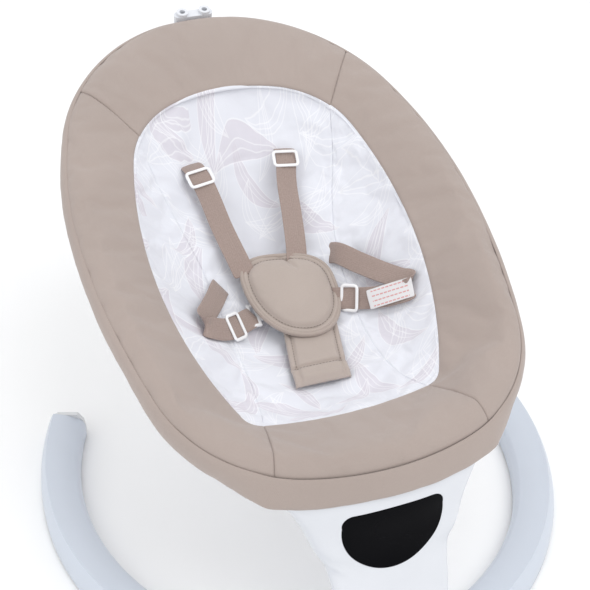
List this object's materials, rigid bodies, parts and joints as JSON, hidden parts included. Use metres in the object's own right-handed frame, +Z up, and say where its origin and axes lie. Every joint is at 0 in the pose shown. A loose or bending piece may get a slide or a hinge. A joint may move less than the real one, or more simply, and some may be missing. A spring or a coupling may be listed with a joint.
{
  "type": "baby swing",
  "caption": "Baby swing: reclined oval fabric seat with a harness, swinging on a tilted hinge at the top of a column that rises from an open floor ring.",
  "frame": {"origin": "middle of the bounding box on the floor plane", "axes": "+Z up, +Y towards the head end of the seat, -Y the side of the column and display, +X to the right of somebody who faces the display"},
  "size_m": [0.6, 0.7038, 0.4435],
  "materials": {
    "ring_plastic": "pale blue-grey, satin",
    "base_plastic": "pale grey",
    "tube_steel": "zinc plated",
    "cap_plastic": "light grey",
    "pad_rubber": "matt black",
    "inner_plastic": "dark grey",
    "column_plastic": "white, satin gloss",
    "display_gloss": "near black, high gloss",
    "board": "green laminate",
    "black_plastic": "black",
    "bright_steel": "ground",
    "copper": "enamelled winding",
    "magnet": "nickel plated",
    "border_fabric": "beige plain weave",
    "liner_fabric": "white plain weave with a pale leaf print",
    "webbing": "beige ribbed webbing",
    "pad_fabric": "beige plain weave",
    "slide_plastic": "white",
    "tag_fabric": "white, blank"
  },
  "bodies": {
    "base": {"floor_shell_right": "ring_plastic", "floor_shell_left": "ring_plastic", "floor_base_right": "base_plastic", "floor_base_left": "base_plastic", "core_tube_right": "tube_steel", "core_tube_left": "tube_steel", "end_cap_right": "cap_plastic", "end_cap_left": "cap_plastic", "foot_pads": "pad_rubber", "tube_socket": "inner_plastic", "column_front": "column_plastic", "column_rear": "column_plastic", "display_lens": "display_gloss", "display_board": "board", "control_board": "board", "speaker": "black_plastic", "power_inlet": "black_plastic", "hinge_housing": "inner_plastic", "bearing_upper": "bright_steel", "bearing_lower": "bright_steel", "housing_screws": "bright_steel", "drive_coil": "copper", "coil_bobbin": "inner_plastic"},
    "carrier": {"swing_shaft": "bright_steel", "shaft_clip": "bright_steel", "carrier_hub": "column_plastic", "carrier_beam": "column_plastic", "drive_magnet": "magnet", "recline_pins": "bright_steel"},
    "recline_button": {"recline_button": "black_plastic"},
    "seat": {"frame_tube_head": "tube_steel", "frame_tube_foot": "tube_steel", "hinge_plate_right": "tube_steel", "hinge_plate_left": "tube_steel", "frame_spigots": "inner_plastic", "hoop_bracket": "column_plastic", "border_head": "border_fabric", "border_left": "border_fabric", "border_right": "border_fabric", "border_foot": "border_fabric", "seat_liner": "liner_fabric", "shoulder_strap_right": "webbing", "shoulder_strap_left": "webbing", "waist_strap_right": "webbing", "waist_strap_left": "webbing", "buckle_pad": "pad_fabric", "crotch_strap": "pad_fabric", "shoulder_slide_right": "slide_plastic", "shoulder_slide_left": "slide_plastic", "waist_slide_right": "slide_plastic", "waist_slide_left": "slide_plastic", "buckle_tongue_right": "slide_plastic", "buckle_tongue_left": "slide_plastic", "buckle_body": "slide_plastic", "strap_tag": "tag_fabric"},
    "buckle_button": {"buckle_button": "slide_plastic"}
  },
  "joints": [
    {"name": "swing", "type": "hinge", "parent": "base", "child": "carrier", "pos_m": [0, -0.228, 0.165], "axis": [0, 0.5736, 0.8192], "range_deg": [-12, 12]},
    {"name": "recline", "type": "hinge", "parent": "carrier", "child": "seat", "pos_m": [0, -0.232, 0.195], "axis": [1, 0, 0], "range_deg": [-6, 6]},
    {"name": "recline_button_press", "type": "slide", "parent": "carrier", "child": "recline_button", "axis": [0, -0.8192, 0.5736], "range_m": [0, 0.003], "stiffness_N_per_m": 400},
    {"name": "buckle_button_press", "type": "slide", "parent": "seat", "child": "buckle_button", "axis": [0, 0.3168, -0.9485], "range_m": [0, 0.002], "stiffness_N_per_m": 400}
  ]
}
